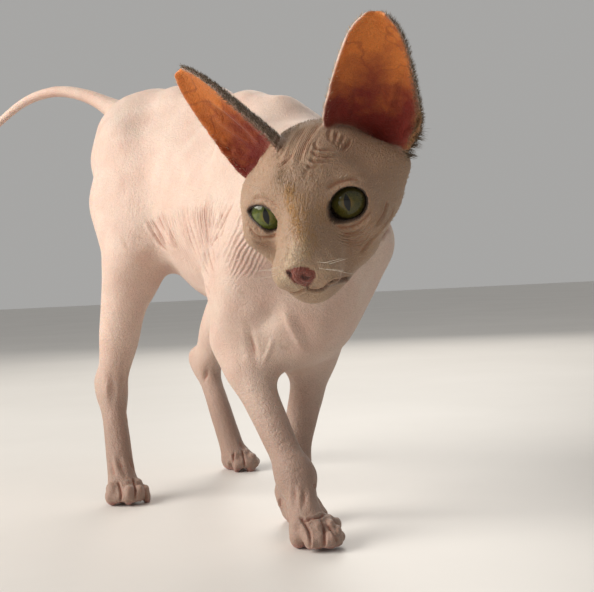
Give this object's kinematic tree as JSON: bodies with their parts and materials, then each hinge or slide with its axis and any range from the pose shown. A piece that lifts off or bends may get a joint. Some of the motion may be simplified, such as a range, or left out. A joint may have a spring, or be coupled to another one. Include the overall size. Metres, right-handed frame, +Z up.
{
  "type": "sphynx cat figure",
  "caption": "Still, life-size hairless cat in mid-step: low turned head, big cupped ears, lean legs, arched back and whip tail.",
  "frame": {"origin": "on the floor, under the middle of the box round the whole cat", "axes": "+Z up, the cat walks towards -Y, its left side is +X"},
  "size_m": [0.2196, 0.5474, 0.2883],
  "materials": {
    "skin": "bare, finely wrinkled skin with a soft down",
    "eye": "wet and clear, green iris"
  },
  "bodies": {
    "root": {"torso": "skin", "neck": "skin", "head": "skin", "ear_left": "skin", "ear_right": "skin", "foreleg_left": "skin", "foreleg_right": "skin", "forepaw_left": "skin", "forepaw_right": "skin", "thigh_left": "skin", "thigh_right": "skin", "shank_left": "skin", "shank_right": "skin", "hindpaw_left": "skin", "hindpaw_right": "skin", "tail_base": "skin", "tail_middle": "skin", "tail_tip": "skin", "eye_left": "eye", "eye_right": "eye"}
  },
  "joints": []
}
